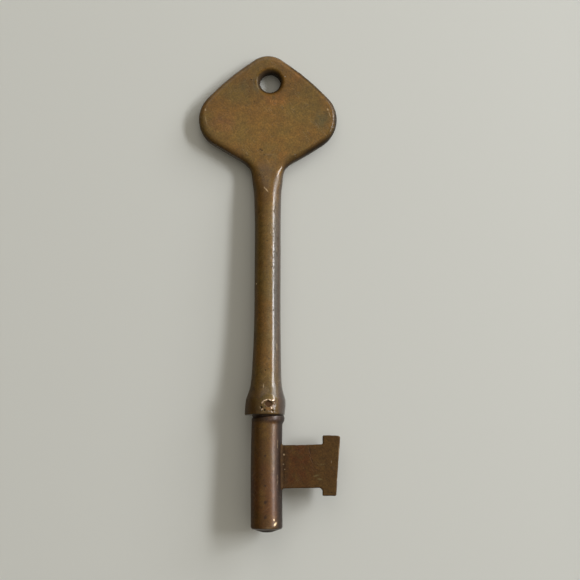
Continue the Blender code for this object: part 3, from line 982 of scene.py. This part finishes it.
def pin_brass():
    """Much like the collar round it, with a painted pinkish sheen on the bit's side; bright on the
    burrs, worn and painted highlight, and dark in the punch mark.
    """
    s = Brass(
        "pin_patina_and_painted_light",
        olive=(0.15, 0.095, 0.024),
        red=(0.16, 0.085, 0.024),
        dark=(0.025, 0.013, 0.006),
        bright=(0.95, 0.7, 0.5),
    )
    # painted sheen: pinkish on the side towards the bit
    s.tint(s.spot((1.5, 25.0, 3.8), (0.8, 1.6), soft=0.7), (0.15, 0.085, 0.055), 0.8)
    s.tint(s.spot((0.2, 24.0, 3.9), (1.0, 0.6), soft=0.8), (0.3, 0.13, 0.03), 0.8)
    s.weather(flank=0.5, wear=0.0)
    mark = s.spot((*PUNCH, 3.8), (0.85, 0.75), soft=0.3)
    s.wash(mark, (0.14, 0.065, 0.025))
    s.pit(mark, 0.35)
    # burrs worn bright, with a painted highlight along them
    for start, end, radius in PUNCH_BURRS:
        middle = ((start[0] + end[0]) / 2, (start[1] + end[1]) / 2, COLLAR_RADIUS)
        length = math.dist(start, end) / 2 + radius
        angle = math.degrees(math.atan2(end[1] - start[1], end[0] - start[0]))
        s.rub_and_glint(s.spot(middle, (length, 1.1 * radius), angle, soft=0.7), 0.9)
    for x, y, radius in PUNCH_PITS:
        s.pit(s.spot((x, y, 3.9), (radius, radius), soft=0.6), 0.85)
    return s.finish(metal=0.5, roughness=0.5, gloss=1.0, sheen=0.15)


def add_piece(obj, node, material):
    obj.data.materials.append(material)
    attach(obj, "root")
    if node:
        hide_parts(node)


def make_key():
    """The four pieces in place of their CAD nodes, and the braze, which has none."""
    casting = net("cast_bow_and_shank", casting_field, CAST_LOW, CAST_HIGH, CAST_CELL)
    add_piece(casting, "bow_and_shank", bow_brass())

    stem_high = (BEAD_RADIUS, BEAD_TOP + TENON_REACH, BEAD_RADIUS)
    stem_low = (-BEAD_RADIUS, 0.0, -BEAD_RADIUS)
    stem = net("turned_stem", stem_field, stem_low, stem_high, STEM_CELL)
    add_piece(stem, "bit_stem", stem_brass())

    bit = net("filed_bit", bit_field, (BIT_ROOT, *BIT_LOW[1:]), BIT_HIGH, BIT_CELL)
    bit_material = bit_brass()
    add_piece(bit, "bit_plate", bit_material)

    braze = net("bit_braze", braze_field, BRAZE_LOW, BRAZE_HIGH, BIT_CELL)
    add_piece(braze, None, bit_material)

    reach = PIN_HEAD_RADIUS + PIN_HEAD_ROOM
    pin_low = (PIN_X - reach, PIN_Y - reach, -COLLAR_RADIUS - PIN_HEAD_ROOM)
    pin_high = (PIN_X + reach, PIN_Y + reach, COLLAR_RADIUS + BURR_ROOM)
    pin = net("peened_pin", pin_field, pin_low, pin_high, PIN_CELL)
    add_piece(pin, "cross_pin", pin_brass())


def make_floor():
    """A plain pale table that touches the collar and the far end of the bow."""
    collar_y = COLLAR_Y + TOUCH_ABOVE_COLLAR
    bow_y = CREST_Y - BOW_EDGE_REACH[0][1]
    rise = (COLLAR_RADIUS - BOW_HALF_THICKNESS) / (bow_y - collar_y)
    bpy.ops.mesh.primitive_plane_add(size=FLOOR_SIZE)
    floor = bpy.context.object
    floor.name = "table_top"
    floor.rotation_euler.x = math.atan(rise)
    middle_z = -COLLAR_RADIUS - FLOOR_GAP + rise * (FLOOR_MIDDLE_Y - collar_y)
    floor.location = (0.0, FLOOR_MIDDLE_Y * MM, middle_z * MM)
    s = Shader("table_paint")
    s.surface.inputs["Base Color"].default_value = (0.72, 0.73, 0.69, 1.0)
    s.surface.inputs["Roughness"].default_value = 0.6
    floor.data.materials.append(s.material)


def make_camera():
    """Nearly above the key and a little towards its tip, so that the bow is seen at a slant."""
    tilt = math.radians(CAMERA_TILT)
    centre = (np.array(cad_box[0]) + np.array(cad_box[1])) / 2
    target = Vector((centre[0] + CAMERA_SHIFT[0] * MM, centre[1] + CAMERA_SHIFT[1] * MM, 0.0))
    data = bpy.data.cameras.new("camera")
    data.lens = CAMERA_LENS
    data.sensor_width = CAMERA_SENSOR
    data.clip_start = 0.005
    camera = bpy.data.objects.new("camera", data)
    camera.location = target + CAMERA_DISTANCE * MM * Vector((0.0, -math.sin(tilt), math.cos(tilt)))
    camera.rotation_euler = (tilt, 0.0, math.radians(CAMERA_TURN))
    bpy.context.scene.collection.objects.link(camera)
    bpy.context.scene.camera = camera
    return target


def make_light(target, name, azimuth, elevation, distance, size, power, colour):
    """A soft rectangular lamp that looks at the key."""
    data = bpy.data.lights.new(name, "AREA")
    data.shape = "RECTANGLE"
    data.size, data.size_y = size
    data.energy = power
    data.color = colour
    lamp = bpy.data.objects.new(name, data)
    level = math.cos(math.radians(elevation))
    turn = math.radians(azimuth)
    rise = math.sin(math.radians(elevation))
    lamp.location = target + distance * Vector((level * math.cos(turn), level * math.sin(turn), rise))
    lamp.rotation_euler = (target - lamp.location).to_track_quat("-Z", "Y").to_euler()
    bpy.context.scene.collection.objects.link(lamp)


def make_room():
    """A pale room: brighter on the window's side and overhead, dim on the other side."""
    world = bpy.data.worlds.new("room")
    world.use_nodes = True
    tree = world.node_tree
    background = tree.nodes["Background"]
    place = tree.nodes.new("ShaderNodeTexCoord")
    towards = tree.nodes.new("ShaderNodeVectorMath")
    towards.operation = "DOT_PRODUCT"
    towards.inputs[1].default_value = (0.6, 0.45, 0.66)  # the room's bright side
    level = tree.nodes.new("ShaderNodeMapRange")
    level.interpolation_type = "SMOOTHSTEP"
    for name, value in (("From Min", -0.5), ("From Max", 1.0), ("To Min", 0.06), ("To Max", 0.46)):
        level.inputs[name].default_value = value
    tree.links.new(place.outputs["Generated"], towards.inputs[0])
    tree.links.new(towards.outputs["Value"], level.inputs["Value"])
    tree.links.new(level.outputs[0], background.inputs["Strength"])
    background.inputs["Color"].default_value = (1.0, 0.93, 0.8, 1.0)
    bpy.context.scene.world = world


def make_lights(target):
    """A broad low window and a narrow higher one on the bit's side, and a skylight."""
    daylight = (0.96, 0.975, 1.0)
    warm = (1.0, 0.985, 0.95)
    for name, azimuth, elevation, distance, size, power, colour in (
        ("window", 35.0, 24.0, 1.0, (0.6, 0.4), 3.8, daylight),
        ("window_top", 12.0, 37.0, 1.0, (0.5, 0.14), 4.6, daylight),
        ("skylight", 100.0, 45.0, 1.5, (1.0, 1.0), 1.6, warm),
    ):
        make_light(target, name, azimuth, elevation, distance, size, power, colour)
    make_room()
    bpy.context.scene.view_settings.view_transform = "Standard"


make_key()
make_floor()
make_lights(make_camera())
